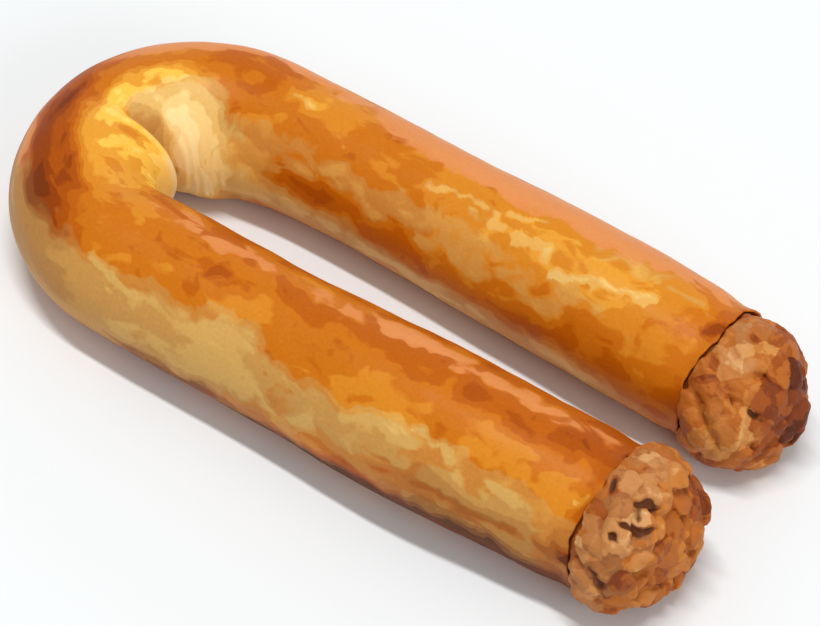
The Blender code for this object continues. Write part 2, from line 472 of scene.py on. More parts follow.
# Painted sheen: pale pink patches that stand in for soft highlights along the top edges of the
# legs and the bend. Place, angle, half length, half width and amount, in millimetres.
PAINTED_SHEEN = (
    (30, 112, 34, 4.2, 0.58),
    (67, 110, 20, 4.6, 0.58),
    (110, 110, 24, 3.4, 0.60),
    (163, 38, 8, 3, 0.60),
    (192, 59, 12, 4, 0.50),
    (208, 50, 18, 6.6, 0.70),
    (226, 58, 14, 5, 0.45),
    (268, 62, 32, 9, 0.80),
    (290, 76, 20, 5, 0.46),
    (318, 57, 30, 7.8, 0.80),
)
# Thin wavy streaks, most of them pale painted highlights along the skin's wrinkles, and a few
# dark marks: place and angle at both ends, half width, tone and khaki. Millimetres.
STREAKS = (
    (268, 109, 287, 104, 1.3, 0.08, 0.44),
    (280, 116, 289, 110, 1.6, 0.07, 0.36),
    (289, 96, 298, 94, 1.3, 0.08, 0.40),
    (293, 114, 303, 110, 1.4, 0.09, 0.46),
    (306, 124, 328, 107, 1.5, 0.12, 0.60),
    (245, 112, 257, 112, 1.3, 0.08, 0.20),
    (225, 92, 232, 88, 1.8, 0.10, 0.30),
    (34, 42, 44, 46, 1.2, 0.10, 0.30),
    (66, 30, 82, 42, 1.4, 0.04, 0.16),
    (118, 36, 134, 48, 1.5, 0.07, 0.26),
    (102, 80, 106, 78, 1.3, -0.22, 0.0),
    (342.5, 96, 347.5, 88, 1.3, -0.28, 0.0),
    # painted highlight beside the near cut's edge
    (2, 67, 4.5, 58, 1.4, 0.20, 0.40),
    # painted shade in the gap between the casing's cut edge and the meat
    (1, 14, 1, 5, 1.2, -0.34, 0.0),
)
# Marks beside the fold's crease, in metres: distance from it, width, tone, khaki and span
# of section angles. Painted shade lies in a wedge past the crease, and a painted highlight
# along the lobe's edge before it.
FOLD_MARKS = (
    (0.0028, 0.0036, 0.0, 0.50, (103, 113, 160, 190)),
    (0.0020, 0.0026, -0.14, 0.0, (104, 112, 134, 152)),
    (-0.0048, 0.0014, 0.20, 0.75, (148, 160, 200, 215)),
)
# How far from the crease the patches before it end, and the marks on their side of it.
LOBE_BORDER = (-0.0011, -0.0002)
MARK_BORDER = (-0.0010, 0.0)
# Amount and size of the waves in the borders of patches and streaks, in metres.
PATCH_WAVES = ((0.0026, 0.0110), (0.0016, 0.0045), (0.0010, 0.0022))
# Shares of the half width over which a streak and a patch fade out.
STREAK_EDGE = (0.3, 1.2)
PATCH_EDGE = (0.45, 1.35)


def wavy(place, angle):
    """Places and angles moved about, which makes the borders of patches wavy."""
    straight = straightened(place, angle)
    radius = section(place)[2]
    for amount, size in PATCH_WAVES:
        place = place + amount * noise_field(straight, size, seed=1.3)
        angle = angle + amount / radius * noise_field(straight, size, seed=6.1)
    return place, angle


def fold_sides(place, angle):
    """How much of a patch stays, for patches before the fold and for patches past it."""
    past = smoothstep(*LOBE_BORDER, past_fold(place, angle))
    around = creased(angle)
    return 1 - around * past, 1 - around * (1 - past)


def swing(angle, other):
    """Smallest turn from an angle in degrees to an array of angles."""
    return (angle - math.radians(other) + math.pi) % (2 * math.pi) - math.pi


def patches(rows, place, angle):
    """Sum of soft-edged patches at an array of places and section angles."""
    radius = section(place)[2]
    total = np.zeros_like(place)
    for row_place, row_angle, half_length, half_width, amount in rows:
        ahead = (place / MM - row_place) / half_length
        side = swing(angle, row_angle) * radius / MM / half_width
        total += amount * (1 - smoothstep(*PATCH_EDGE, np.hypot(ahead, side)))
    return total


def streaks(place, angle):
    """Tone and khaki of the thin streaks."""
    radius = section(place)[2] / MM
    tone, khaki = np.zeros_like(place), np.zeros_like(place)
    for from_place, from_angle, to_place, to_angle, width, tone_amount, khaki_amount in STREAKS:
        ahead, side = place / MM - from_place, swing(angle, from_angle) * radius
        length, lean = to_place - from_place, math.radians(to_angle - from_angle) * radius
        share = np.clip((ahead * length + side * lean) / (length**2 + lean**2), 0, 1)
        away = np.hypot(ahead - share * length, side - share * lean) / width
        shape = 1 - smoothstep(*STREAK_EDGE, away)
        tone += tone_amount * shape
        khaki += khaki_amount * shape
    return tone, khaki


def fold_marks(place, angle):
    """Tone and khaki of the marks along the crease."""
    across = past_fold(place, angle)
    tone, khaki = np.zeros_like(place), np.zeros_like(place)
    for distance, width, tone_amount, khaki_amount, span in FOLD_MARKS:
        rise, top, drop, end = np.radians(span)
        shape = smoothstep(rise, top, angle) * (1 - smoothstep(drop, end, angle))
        shape = shape * bell(across - distance, width)
        shape = shape * smoothstep(*MARK_BORDER, across * math.copysign(1, distance))
        tone += tone_amount * shape
        khaki += khaki_amount * shape
    return tone, khaki


def skin_tones(place, angle):
    """Tone of the casing, its browning with painted light and shade: dark to pale, khaki and
    painted sheen.
    """
    mark_tone, mark_khaki = fold_marks(place, angle)
    before, past = fold_sides(place, angle)
    place, angle = wavy(place, angle)
    tone, khaki = streaks(place, angle)
    tone += TONE_BASE + mark_tone + patches(TONE, place, angle)
    tone += before * patches(LOBE_TONE, place, angle) + past * patches(INNER_TONE, place, angle)
    khaki += mark_khaki + patches(KHAKI, place, angle)
    khaki += past * patches(INNER_KHAKI, place, angle)
    return {"tone": tone, "khaki": khaki, "painted_sheen": patches(PAINTED_SHEEN, place, angle)}


# ---------------------------------------------------------------- meat

# A knob starts a little past the cut. How square its front and its back are.
NECK = 0.0006
DOME = 2.1
BACK = 4.0
# A knob's directions are given in degrees: angle round its axis as on a section, and
# tilt from the axis. Pits: angle, tilt, width, rise. Shades and fat: angle, tilt, width,
# amount. Cracks: angle and tilt at both ends, bow as a share of the length, half width,
# depth. Big chunks: angle, tilt, half length, half width, how far it stands out, shade.
NEAR_KNOB = {
    "place": 0.0,
    "axis": -1,
    "radius": 0.0194,
    "widest": 0.0032,
    "reach": 0.0168,
    "shift": (0.0, 0.0008),
    "lean": (-0.0024, -0.0026),
    "phase": NEAR_EDGE,
    "seed": 5,
    "pits": (
        (120, 30, 16, -0.0030),
        (150, 62, 18, -0.0020),
        (40, 64, 24, 0.0014),
        (75, 69, 6, -0.0020),
        (58, 65, 7, -0.0024),
        (43, 78, 5, -0.0020),
        (12, 71, 5, -0.0014),
    ),
    # shades: tone, partly painted light and shade: a lighter top, a darker right side and bottom,
    # and painted shade in the gaps at the casing's edge
    "shades": (
        (100, 84, 30, 0.16),
        (64, 62, 24, 0.16),
        (60, 70, 6, -0.70),
        (48, 59, 11, 0.30),
        (46, 78, 7, -0.62),
        (30, 75, 12, -0.08),
        (72, 94, 7, -0.36),
        (100, 99, 6, -0.30),
        (22, 80, 26, 0.10),
        (156, 46, 19, -0.32),
        (8, 66, 14, -0.18),
        (-34, 60, 18, -0.12),
        (-20, 36, 16, 0.10),
        (-17, 80, 9, 0.40),
    ),
    "fat": (
        (100, 84, 34, 0.65),
        (16, 86, 34, 0.85),
        (56, 70, 30, 0.62),
        (48, 60, 14, 0.35),
        (49, 89, 16, 0.30),
        (-17, 80, 10, 0.50),
    ),
    "cracks": (
        (70, 75, 81, 60, 0.12, 0.0011, 0.0011),
        (72, 72, 57, 65, 0.0, 0.0010, 0.0006),
        (53, 79, 65, 52, -0.14, 0.0012, 0.0015),
        (44, 82, 41, 73, 0.10, 0.0010, 0.0013),
        (16, 86, -6, 75, 0.14, 0.0010, 0.0010),
        (79, 95, 66, 92, 0.0, 0.0010, 0.0010),
    ),
    "chunks": (
        (157, 42, 0.0048, 0.0036, 0.0004, 0.10),
        (120, 68, 0.0046, 0.0030, 0.0004, 0.55),
        (30, 44, 0.0050, 0.0036, 0.0007, 0.62),
        (-140, 32, 0.0032, 0.0024, 0.0005, 0.55),
    ),
}
FAR_KNOB = {
    "place": LENGTH,
    "axis": 1,
    "radius": 0.0174,
    "widest": 0.0040,
    "reach": 0.0198,
    "shift": (-0.0013, -0.0007),
    "lean": (-0.0010, -0.0032),
    "phase": FAR_EDGE,
    "seed": 8,
    "pits": (
        (185, 34, 18, -0.0026),
        (70, 42, 24, 0.0024),
        (110, 66, 18, -0.0018),
        (140, 46, 5, -0.0022),
        (140, 68, 5, -0.0018),
    ),
    # shades: tone, partly painted light and shade: a lighter top, a darker bottom, and painted
    # shade in the gaps at the casing's edge and under the knob's lower edge
    "shades": (
        (108, 80, 28, 0.20),
        (148, 56, 18, 0.10),
        (40, 60, 24, -0.14),
        (70, 16, 28, -0.45),
        (-132, 26, 18, -0.24),
        (165, 44, 12, 0.10),
        (184, 74, 22, 0.30),
        (150, 94, 9, -0.36),
        (182, 70, 9, 0.16),
        (180, 96, 7, -0.22),
        (-152, 80, 8, -0.14),
        (70, 50, 12, 0.24),
        (102, 90, 12, 0.10),
    ),
    "fat": (
        (106, 84, 22, 0.50),
        (146, 74, 18, 0.45),
        (80, 96, 14, 0.60),
    ),
    "cracks": (
        (137, 53, 147, 37, -0.08, 0.0009, 0.0011),
        (126, 80, 141, 66, 0.0, 0.0008, 0.0004),
        (141, 66, 152, 73, 0.0, 0.0008, 0.0004),
    ),
    "chunks": (
        (-20, 12, 0.0048, 0.0036, 0.0016, 0.06),
        (106, 80, 0.0060, 0.0046, 0.0006, 0.80),
        (90, 62, 0.0042, 0.0034, 0.0005, 0.55),
    ),
}
CHUNKS = 92
BIG_CHUNK_DEPTH = 0.7
# The golden angle as a share of pi, which spreads the chunks evenly.
GOLDEN = 3 - math.sqrt(5)
ANGLE_WANDER = 9
CHUNK_LENGTH = (0.0030, 0.0062)
CHUNK_WIDTH = (0.0022, 0.0040)
CHUNK_DEPTH = (0.0014, 0.0022)
CHUNK_PROUD = (-0.0005, 0.0005)
CHUNK_ROUGHNESS = 0.34
CHUNK_NOISE = 1.3
CHUNK_SEED_STEP = 1.7
CRUMBS = 50
CRUMB_SIZE = (0.0008, 0.0018)
CRUMB_PROUD = (-0.0002, 0.0003)
CRUMB_STRETCH = 1.3
SPREAD = 1.62
SHADE_BASE = 0.46
SHADE_VARIETY = 0.11
BED = 0.0013
MEAT_GAP = 0.0003
STUB = 0.010
STUB_RINGS = 12
STUB_SIDES = 64
CORE_INSET = 0.0012
CORE_SIDES = 48
VOXEL = 0.00035
# Rounds and share of each smoothing.
MEAT_SMOOTHING = (2, 0.5)
CAVITY_SMOOTHING = (30, 0.6)
GRAIN = ((0.00020, 0.0030), (0.00010, 0.0012))
CRACK_WANDER = 0.0007
CRACK_WANDER_SIZE = 0.0019
CRACK_TIP = 0.45
CAVITY_DEPTH = 0.0007
KNOB_REACH = 0.030
CHUNK_BORDER_WAVE = 0.0006
CHUNK_BORDER_SIZE = 0.0016


def knob_axes(form):
    """Centre, axis, outward direction and radius at the cut that a knob fills."""
    centre, outward, radius = section(np.array(form["place"]))
    centre, outward = Vector(centre), Vector(outward)
    axis = Vector((outward.y, -outward.x, 0)) * form["axis"]
    shift_out, shift_up = form["shift"]
    return centre + outward * shift_out + Vector((0, 0, shift_up)), axis, outward, float(radius)


def knob_direction(angle, tilt):
    """Unit direction (forward, outward, up) of an angle and tilt in degrees."""
    angle, tilt = math.radians(angle), math.radians(tilt)
    side = math.sin(tilt)
    return Vector((math.cos(tilt), side * math.cos(angle), side * math.sin(angle)))


def dome_point(form, axes, direction):
    """Point of a knob's smooth dome, and the way out from it."""
    centre, axis, outward, _ = axes
    forward, sideways, upward = direction
    angle = math.atan2(upward, sideways)
    tilt = math.degrees(math.acos(min(max(forward, -1), 1)))
    power = 2 / (DOME if forward > 0 else BACK)
    depth = form["reach"] - form["widest"] if forward > 0 else form["widest"] - NECK
    ahead = math.copysign(depth * abs(forward) ** power, forward)
    around = math.sqrt(max(1 - forward**2, 0)) ** power
    lean = around * (math.cos(angle) * form["lean"][0] + math.sin(angle) * form["lean"][1])
    ahead += form["widest"] + lean * float(smoothstep(0, form["reach"], ahead))
    side = outward * math.cos(angle) + Vector((0, 0, math.sin(angle)))
    point = centre + axis * ahead + side * around * form["radius"]
    away = (point - centre - axis * form["widest"]).normalized()
    for pit_angle, pit_tilt, width, rise in form["pits"]:
        turned = math.radians(pit_angle) - angle
        apart = math.hypot(pit_tilt - tilt * math.cos(turned), tilt * math.sin(turned))
        point += away * rise * float(bell(apart, width))
    return point, away


def keep_clear(form, axes, point):
    """Hold meat off the casing's edge and off the floor."""
    centre, axis, outward, radius = axes
    ahead = (point - centre).dot(axis)
    side = point - centre - axis * ahead
    angle = math.atan2(side.z, side.dot(outward))
    least = MEAT_GAP + EDGE_WALL / 2 - float(edge_pull(np.array(angle), form["phase"]))
    inside = radius - WALL - MEAT_GAP
    if ahead < least and side.length > inside:
        point = point + axis * (least - ahead)
    point.z = max(point.z, 0.0)
    return point


def icosphere(subdivisions):
    """Points and faces of a unit icosphere."""
    ball = bmesh.new()
    bmesh.ops.create_icosphere(ball, subdivisions=subdivisions, radius=1)
    points = [vert.co.copy() for vert in ball.verts]
    faces = [[vert.index for vert in face.verts] for face in ball.faces]
    ball.free()
    return points, faces


def spots(rows, direction):
    """Sum of the soft round spots of a knob in a direction."""
    total = 0.0
    for angle, tilt, width, amount in rows:
        apart = math.degrees(knob_direction(angle, tilt).angle(direction))
        total += amount * float(bell(apart, width))
    return total


class Knob:
    """Overlapping closed pieces of one knob, and each chunk's middle, shade and fat."""

    def __init__(self, form):
        self.form = form
        self.axes = knob_axes(form)
        self.points, self.faces, self.middles, self.shades, self.fats = [], [], [], [], []
        self.ball = icosphere(subdivisions=3)

    def add(self, points, faces):
        start = len(self.points)
        self.points.extend(points)
        self.faces.extend([start + index for index in face] for face in faces)

    def add_dome(self):
        """Bed of meat under the chunks."""
        points, faces = icosphere(subdivisions=5)
        bed = []
        for direction in points:
            point, away = dome_point(self.form, self.axes, direction)
            bed.append(keep_clear(self.form, self.axes, point - away * BED))
        self.add(bed, faces)

    def add_stub(self):
        """Short cylinder inside the casing's end, reaching into the dome."""
        centre, outward, radius = section(np.array(self.form["place"]))
        centre, outward, axis = Vector(centre), Vector(outward), self.axes[1]
        reach = float(radius - WALL - MEAT_GAP)
        points = []
        for ahead in np.linspace(-STUB, self.form["widest"], STUB_RINGS):
            for side in range(STUB_SIDES):
                angle = 2 * math.pi * side / STUB_SIDES
                spoke = outward * math.cos(angle) + Vector((0, 0, math.sin(angle)))
                point = centre + axis * float(ahead) + spoke * reach
                point.z = max(point.z, WALL + MEAT_GAP)
                points.append(point)
        faces = capped_faces(STUB_RINGS, STUB_SIDES)
        if self.form["axis"] > 0:
            faces = [face[::-1] for face in faces]
        self.add(points, faces)

    def add_chunk(self, direction, spin, length, width, depth, proud, shade):
        """One rough lump of meat, lying in the dome's surface."""
        point, away = dome_point(self.form, self.axes, direction)
        first = Matrix.Rotation(spin, 3, away) @ away.orthogonal().normalized()
        second = away.cross(first)
        middle = point + away * (proud - depth)
        seed = Vector((len(self.middles) * CHUNK_SEED_STEP, self.form["seed"], 0))
        chunk = []
        for co in self.ball[0]:
            rough = 1 + CHUNK_ROUGHNESS * noise.noise(co * CHUNK_NOISE + seed)
            lump = first * co.x * length + second * co.y * width + away * co.z * depth
            chunk.append(keep_clear(self.form, self.axes, middle + lump * rough))
        self.add(chunk, self.ball[1])
        self.middles.append(middle + away * depth / 2)
        self.shades.append(shade)
        self.fats.append(spots(self.form["fat"], direction))


def chunk_tone_and_light(form, direction, draw):
    """Tone of a chunk of meat: the knob's shades, which are partly painted light and shade, and
    some variety.
    """
    return SHADE_BASE + spots(form["shades"], direction) + draw.gauss(0, SHADE_VARIETY)


def build_knob(form):
    knob = Knob(form)
    knob.add_dome()
    knob.add_stub()
    draw = random.Random(form["seed"])
    for angle, tilt, length, width, proud, shade in form["chunks"]:
        spin, depth = draw.uniform(0, math.pi), width * BIG_CHUNK_DEPTH
        knob.add_chunk(knob_direction(angle, tilt), spin, length, width, depth, proud, shade)
    for index in range(CHUNKS):
        tilt = math.degrees(math.acos(1 - SPREAD * (index + 0.5) / CHUNKS))
        wander = draw.uniform(-ANGLE_WANDER, ANGLE_WANDER)
        direction = knob_direction(math.degrees(index * math.pi * GOLDEN) + wander, tilt)
        shade = chunk_tone_and_light(form, direction, draw)
        spin, length = draw.uniform(0, math.pi), draw.uniform(*CHUNK_LENGTH)
        width, depth = draw.uniform(*CHUNK_WIDTH), draw.uniform(*CHUNK_DEPTH)
        proud = draw.uniform(*CHUNK_PROUD)
        knob.add_chunk(direction, spin, length, width, depth, proud, shade)
    for _ in range(CRUMBS):
        angle, forward = draw.uniform(0, 360), draw.uniform(1 - SPREAD, 1)
        direction = knob_direction(angle, math.degrees(math.acos(forward)))
        shade = chunk_tone_and_light(form, direction, draw)
        size, proud = draw.uniform(*CRUMB_SIZE), draw.uniform(*CRUMB_PROUD)
        knob.add_chunk(direction, 0, size * CRUMB_STRETCH, size, size, proud, shade)
    return knob


def evaluated_mesh(obj):
    """Mesh of an object with its modifiers applied; the object goes."""
    graph = bpy.context.evaluated_depsgraph_get()
    result = bpy.data.meshes.new_from_object(obj.evaluated_get(graph))
    bpy.data.objects.remove(obj)
    return result


def fused(knob):
    """One closed skin round a knob's overlapping pieces."""
    data = bpy.data.meshes.new("pieces")
    data.from_pydata(knob.points, [], knob.faces)
    obj = make_object("pieces", data, None)
    remesh = obj.modifiers.new("Remesh", "REMESH")
    remesh.mode = "VOXEL"
    remesh.voxel_size = VOXEL
    bpy.context.view_layer.update()
    return evaluated_mesh(obj)


def core_mesh():
    """Meat along the inside of the casing, from stub to stub."""
    angles = 2 * math.pi * (np.arange(CORE_SIDES) + 0.5) / CORE_SIDES
    places = np.arange(STUB / 2, LENGTH - STUB / 2, INNER_STEP)
    place, angle = np.meshgrid(places, angles, indexing="ij")
    slack = (FOLD_SLACK + CREASE_DEPTH) * bell(angle - FOLD_SIDE, FOLD_SPREAD)
    slack = slack * bell(fold_offset(place, angle), FOLD_SLACK_WIDTH)
    inset = WALL + MEAT_GAP + CORE_INSET + slack
    points = skin_points(place, angle, inset, 0 * place).reshape(-1, 3)
    data = bpy.data.meshes.new("core")
    data.from_pydata(points, [], capped_faces(len(places), CORE_SIDES))
    return data


def joined(meshes):
    """Boolean union of closed meshes."""
    scratch = bpy.data.collections.new("scratch")
    first, *others = [bpy.data.objects.new("part", data) for data in meshes]
    bpy.context.scene.collection.objects.link(first)
    for other in others:
        scratch.objects.link(other)
    union = first.modifiers.new("Union", "BOOLEAN")
    union.operation = "UNION"
    union.operand_type = "COLLECTION"
    union.collection = scratch
    union.solver = "MANIFOLD"
    bpy.context.view_layer.update()
    result = evaluated_mesh(first)
    for other in others:
        bpy.data.objects.remove(other)
    bpy.data.collections.remove(scratch)
    return result


def mesh_arrays(data):
    """Points, normals and edges of a mesh."""
    points = np.empty((len(data.vertices), 3), np.float32)
    normals = np.empty_like(points)
    edges = np.empty((len(data.edges), 2), np.int32)
    data.vertices.foreach_get("co", points.ravel())
    data.vertices.foreach_get("normal", normals.ravel())
    data.edges.foreach_get("vertices", edges.ravel())
    return points.astype(float), normals.astype(float), edges


def relaxed(points, edges, rounds, share):
    """Points moved towards the middle of their neighbours."""
    count = len(points)
    both = np.concatenate((edges, edges[:, ::-1]))
    degree = np.maximum(np.bincount(both[:, 0], minlength=count), 1)[:, None]
    for _ in range(rounds):
        sums = [np.bincount(both[:, 0], points[both[:, 1], k], minlength=count) for k in range(3)]
        points = points + share * (np.stack(sums, -1) / degree - points)
    return points


def crack_depth(knob, points):
    """How deep the knob's cracks cut at each point, and the way out there."""
    centre, axis, outward, _ = knob.axes
    origin = np.array(centre + axis * knob.form["widest"])
    away = points - origin
    far = np.linalg.norm(away, axis=1)
    away /= np.maximum(far, 1e-9)[:, None]
    depth = np.zeros(len(points))
    wander = noise_field(points, CRACK_WANDER_SIZE)
    turn = np.array((axis, outward, (0, 0, 1)))
    for first_angle, first_tilt, second_angle, second_tilt, bow, width, cut in knob.form["cracks"]:
        start = np.array(knob_direction(first_angle, first_tilt)) @ turn
        line = np.array(knob_direction(second_angle, second_tilt)) @ turn - start
        share = np.clip((away - start) @ line / (line @ line), 0, 1)
        swell = np.sin(math.pi * share)
        middle = start + share[:, None] * line + (bow * swell)[:, None] * np.cross(start, line)
        apart = np.linalg.norm(away - middle, axis=1) * far
        apart = np.maximum(apart + CRACK_WANDER * wander, 0)
        taper = CRACK_TIP + (1 - CRACK_TIP) * swell
        depth = np.maximum(depth, cut * taper * bell(apart, width * taper))
    return depth, away


def nearest_chunks(knob, points):
    """Index of the chunk that each point belongs to, with wavy borders between chunks."""
    tree = KDTree(len(knob.middles))
    for index, middle in enumerate(knob.middles):
        tree.insert(middle, index)
    tree.balance()
    waves = [noise_field(points, CHUNK_BORDER_SIZE, seed) for seed in (0.0, 4.0, 8.0)]
    bent = points + CHUNK_BORDER_WAVE * np.stack(waves, -1)
    return [tree.find(point)[1] for point in bent]


def build_meat(material):
    knobs = [build_knob(form) for form in (NEAR_KNOB, FAR_KNOB)]
    data = joined([fused(knob) for knob in knobs] + [core_mesh()])
    points, normals, edges = mesh_arrays(data)
    points = relaxed(points, edges, *MEAT_SMOOTHING)
    for height, size in GRAIN:
        points += normals * (height * noise_field(points, size))[:, None]
    smooth = relaxed(points, edges, *CAVITY_SMOOTHING)
    cavity = np.einsum("ij,ij->i", smooth - points, normals)
    shade = np.full(len(points), SHADE_BASE)
    fat = np.zeros(len(points))
    for knob in knobs:
        from_knob = np.linalg.norm(points - np.array(knob.axes[0]), axis=1)
        own = np.nonzero(from_knob < KNOB_REACH)[0]
        depth, away = crack_depth(knob, points[own])
        points[own] -= away * depth[:, None]
        cavity[own] += depth
        nearest = nearest_chunks(knob, points[own])
        shade[own] = np.array(knob.shades)[nearest]
        fat[own] = np.array(knob.fats)[nearest]
    points[:, 2] = np.maximum(points[:, 2], 0)
    data.vertices.foreach_set("co", points.astype(np.float32).ravel())
    data.update()
    store(data, "shade", shade)
    store(data, "fat", fat)
    store(data, "cavity", np.clip(cavity / CAVITY_DEPTH, -1, 1))
    data.materials.clear()
    return make_object("ground_meat", data, material)


# ---------------------------------------------------------------- materials

# Share of its step over which a colour of a ramp stays flat.
PLATEAU = 0.72
SKIN_LEVELS = (
    (122, 50, 2),
    (146, 62, 0),
    (168, 78, 2),
    (184, 92, 6),
    (198, 110, 16),
    (210, 130, 32),
    (224, 152, 48),
    (246, 188, 72),
    (255, 204, 98),
)
KHAKI_LEVELS = (
    (92, 48, 20),
    (130, 78, 34),
    (160, 104, 46),
    (182, 127, 63),
    (195, 143, 73),
    (206, 160, 87),
    (224, 180, 102),
    (240, 202, 128),
    (250, 218, 152),
)
# Colour of the painted sheen, a soft highlight.
PAINTED_SHEEN_COLOUR = (220, 138, 76)
# Noises: scale, detail, roughness, distortion and stretch.
BLOTCHES = (62, 1.0, 0.5, 0.9, (0.6, 1, 1))
MOTTLE = (170, 2.0, 0.5, 0.7, (0.65, 1, 1))
PORES = (1300, 2.0, 0.5)
WRINKLES = (420, 4.0, 0.6, 1.2, (0.55, 1, 1))
# Where khaki covers half of a colour and all of it, and where the painted sheen starts.
HALF_KHAKI = (0.26, 0.38)
FULL_KHAKI = (0.56, 0.68)
SHEEN_EDGE = (0.42, 0.56)
SHEEN_LEAST = 0.30
SHEEN_GAIN = 0.80
LEAN_LEVELS = (
    (92, 38, 10),
    (126, 56, 16),
    (154, 76, 20),
    (176, 98, 32),
    (190, 116, 48),
    (202, 136, 68),
    (214, 156, 90),
)
FAT_LEVELS = (
    (102, 54, 22),
    (132, 74, 34),
    (156, 94, 46),
    (176, 112, 58),
    (192, 130, 74),
    (206, 150, 94),
    (220, 170, 118),
)
# Painted shade: the colour that the meat's hollows and cracks turn to.
CREVICE_SHADE_COLOUR = (88, 42, 14)
LUMPS = (210, 2.0, 0.5, 0.6)
FIBRES = (1100, 3.0, 0.6, 0.4)
SPECKS = (2600, 2.0, 0.6)
FAT_EDGE = (0.30, 0.60)
CREVICE_SHADE_EDGE = (0.30, 0.95)


def srgb(red, green, blue):
    """Linear colour from 0 to 255 display values."""
    values = []
    for value in (red, green, blue):
        value /= 255
        values.append(value / 12.92 if value < 0.04045 else ((value + 0.055) / 1.055) ** 2.4)
    return (*values, 1.0)


def plateaus(colours):
    """Ramp stops for a row of colours, each flat over part of its share of the ramp."""
    step = 1 / (len(colours) - 1)
    stops = [(0.0, srgb(*colours[0]))]
    for index, colour in enumerate(colours):
        for side in (-0.5, 0.5):
            position = step * (index + side * PLATEAU)
            if 0 < position < 1:
                stops.append((position, srgb(*colour)))
    return stops


class Shader:
    """Short calls for building one material's nodes."""

    def __init__(self, name):
        self.material = bpy.data.materials.new(name)
        self.material.use_nodes = True
        self.tree = self.material.node_tree
        self.out = self.tree.nodes["Principled BSDF"]

    def plug(self, value, socket):
        if isinstance(value, bpy.types.NodeSocket):
            self.tree.links.new(value, socket)
        else:
            socket.default_value = value

    def node(self, kind, inputs, **settings):
        """New node; each of its inputs is a value or another node's socket."""
        made = self.tree.nodes.new(kind)
        for name, value in settings.items():
            setattr(made, name, value)
        for name, value in inputs.items():
            self.plug(value, made.inputs[name])
        return made

    def attribute(self, name, vector=False):
        made = self.node("ShaderNodeAttribute", {}, attribute_name=name)
        return made.outputs["Vector" if vector else "Fac"]

    def noise(self, vector, scale, detail, roughness, distortion=0.0, stretch=(1, 1, 1)):
        mapping = self.node("ShaderNodeMapping", {"Scale": stretch, "Vector": vector})
        inputs = {"Vector": mapping.outputs[0], "Scale": scale, "Detail": detail}
        inputs.update(Roughness=roughness, Distortion=distortion)
        return self.node("ShaderNodeTexNoise", inputs).outputs["Fac"]

    def math(self, operation, first, second, clamp=False):
        inputs = {0: first, 1: second}
        made = self.node("ShaderNodeMath", inputs, operation=operation, use_clamp=clamp)
        return made.outputs[0]

    def steps(self, value, low, high, kind="SMOOTHSTEP"):
        """0 below low, 1 above high, rising between."""
        inputs = {"Value": value, "From Min": low, "From Max": high}
        return self.node("ShaderNodeMapRange", inputs, interpolation_type=kind).outputs["Result"]

    def ramp(self, value, colours):
        """Colours in flat steps from 0 to 1."""
        made = self.node("ShaderNodeValToRGB", {0: value})
        elements, stops = made.color_ramp.elements, plateaus(colours)
        while len(elements) < len(stops):
            elements.new(0.5)
        for element, (position, colour) in zip(elements, stops):
            element.position = position
            element.color = colour
        return made.outputs["Color"]

    def mix(self, factor, first, second, blend="MIX"):
        inputs = {"Factor": factor, 6: first, 7: second}
        made = self.node("ShaderNodeMix", inputs, data_type="RGBA", blend_type=blend)
        return made.outputs[2]

    def wander(self, value, *noises):
        """A value moved up and down by noises, each with its amount."""
        for noise_value, amount in noises:
            centred = self.math("SUBTRACT", noise_value, 0.5)
            value = self.math("ADD", value, self.math("MULTIPLY", centred, amount))
        return value

    def bump(self, height, strength, distance, normal=None):
        inputs = {"Strength": strength, "Distance": distance, "Height": height}
        if normal:
            inputs["Normal"] = normal
        return self.node("ShaderNodeBump", inputs).outputs["Normal"]

    def set(self, **values):
        for name, value in values.items():
            self.plug(value, self.out.inputs[name.replace("_", " ")])


def skin_material():
    s = Shader("browned_casing")
    straight = s.attribute("straight", vector=True)
    large = s.noise(straight, *BLOTCHES)
    small = s.noise(straight, *MOTTLE)
    fine = s.noise(straight, *PORES)
    # Blotches of browned tone with fairly crisp, wavy borders.
    tone = s.wander(s.attribute("tone"), (large, 0.50), (small, 0.42), (fine, 0.010))
    colour = s.ramp(tone, SKIN_LEVELS)
    khaki = s.wander(s.attribute("khaki"), (large, 0.4), (small, 0.8))
    khaki_tone = s.wander(s.attribute("tone"), (large, 0.26), (small, 0.28), (fine, 0.010))
    khaki_colour = s.ramp(khaki_tone, KHAKI_LEVELS)
    shares = [s.math("MULTIPLY", s.steps(khaki, *edge), 0.5) for edge in (HALF_KHAKI, FULL_KHAKI)]
    colour = s.mix(s.math("ADD", *shares), colour, khaki_colour)
    # Painted sheen over the skin, pale patches that stand in for soft highlights, thinner where
    # the attribute is low.
    painted_sheen = s.wander(s.attribute("painted_sheen"), (large, 0.5), (small, 1.1))
    gain = s.math("MULTIPLY", s.attribute("painted_sheen"), SHEEN_GAIN)
    sheen_share = s.math("ADD", SHEEN_LEAST, gain, clamp=True)
    sheen_share = s.math("MULTIPLY", sheen_share, s.steps(painted_sheen, *SHEEN_EDGE))
    colour = s.mix(sheen_share, colour, srgb(*PAINTED_SHEEN_COLOUR))
    s.set(Base_Color=s.mix(0.05, colour, s.steps(fine, 0.30, 0.70, "LINEAR"), "OVERLAY"))
    s.set(Subsurface_Weight=0.05, Subsurface_Scale=0.002, Subsurface_Radius=(1.0, 0.42, 0.16))
    # Darker skin is duller than pale skin.
    rough = s.math("ADD", 0.40, s.math("MULTIPLY", small, 0.24))
    rough = s.math("SUBTRACT", rough, s.math("MULTIPLY", tone, 0.26), clamp=True)
    s.set(Roughness=rough, Specular_IOR_Level=0.10)
    normal = s.bump(s.noise(straight, *WRINKLES), strength=0.25, distance=0.0005)
    s.set(Normal=s.bump(fine, strength=0.08, distance=0.0002, normal=normal))
    return s.material


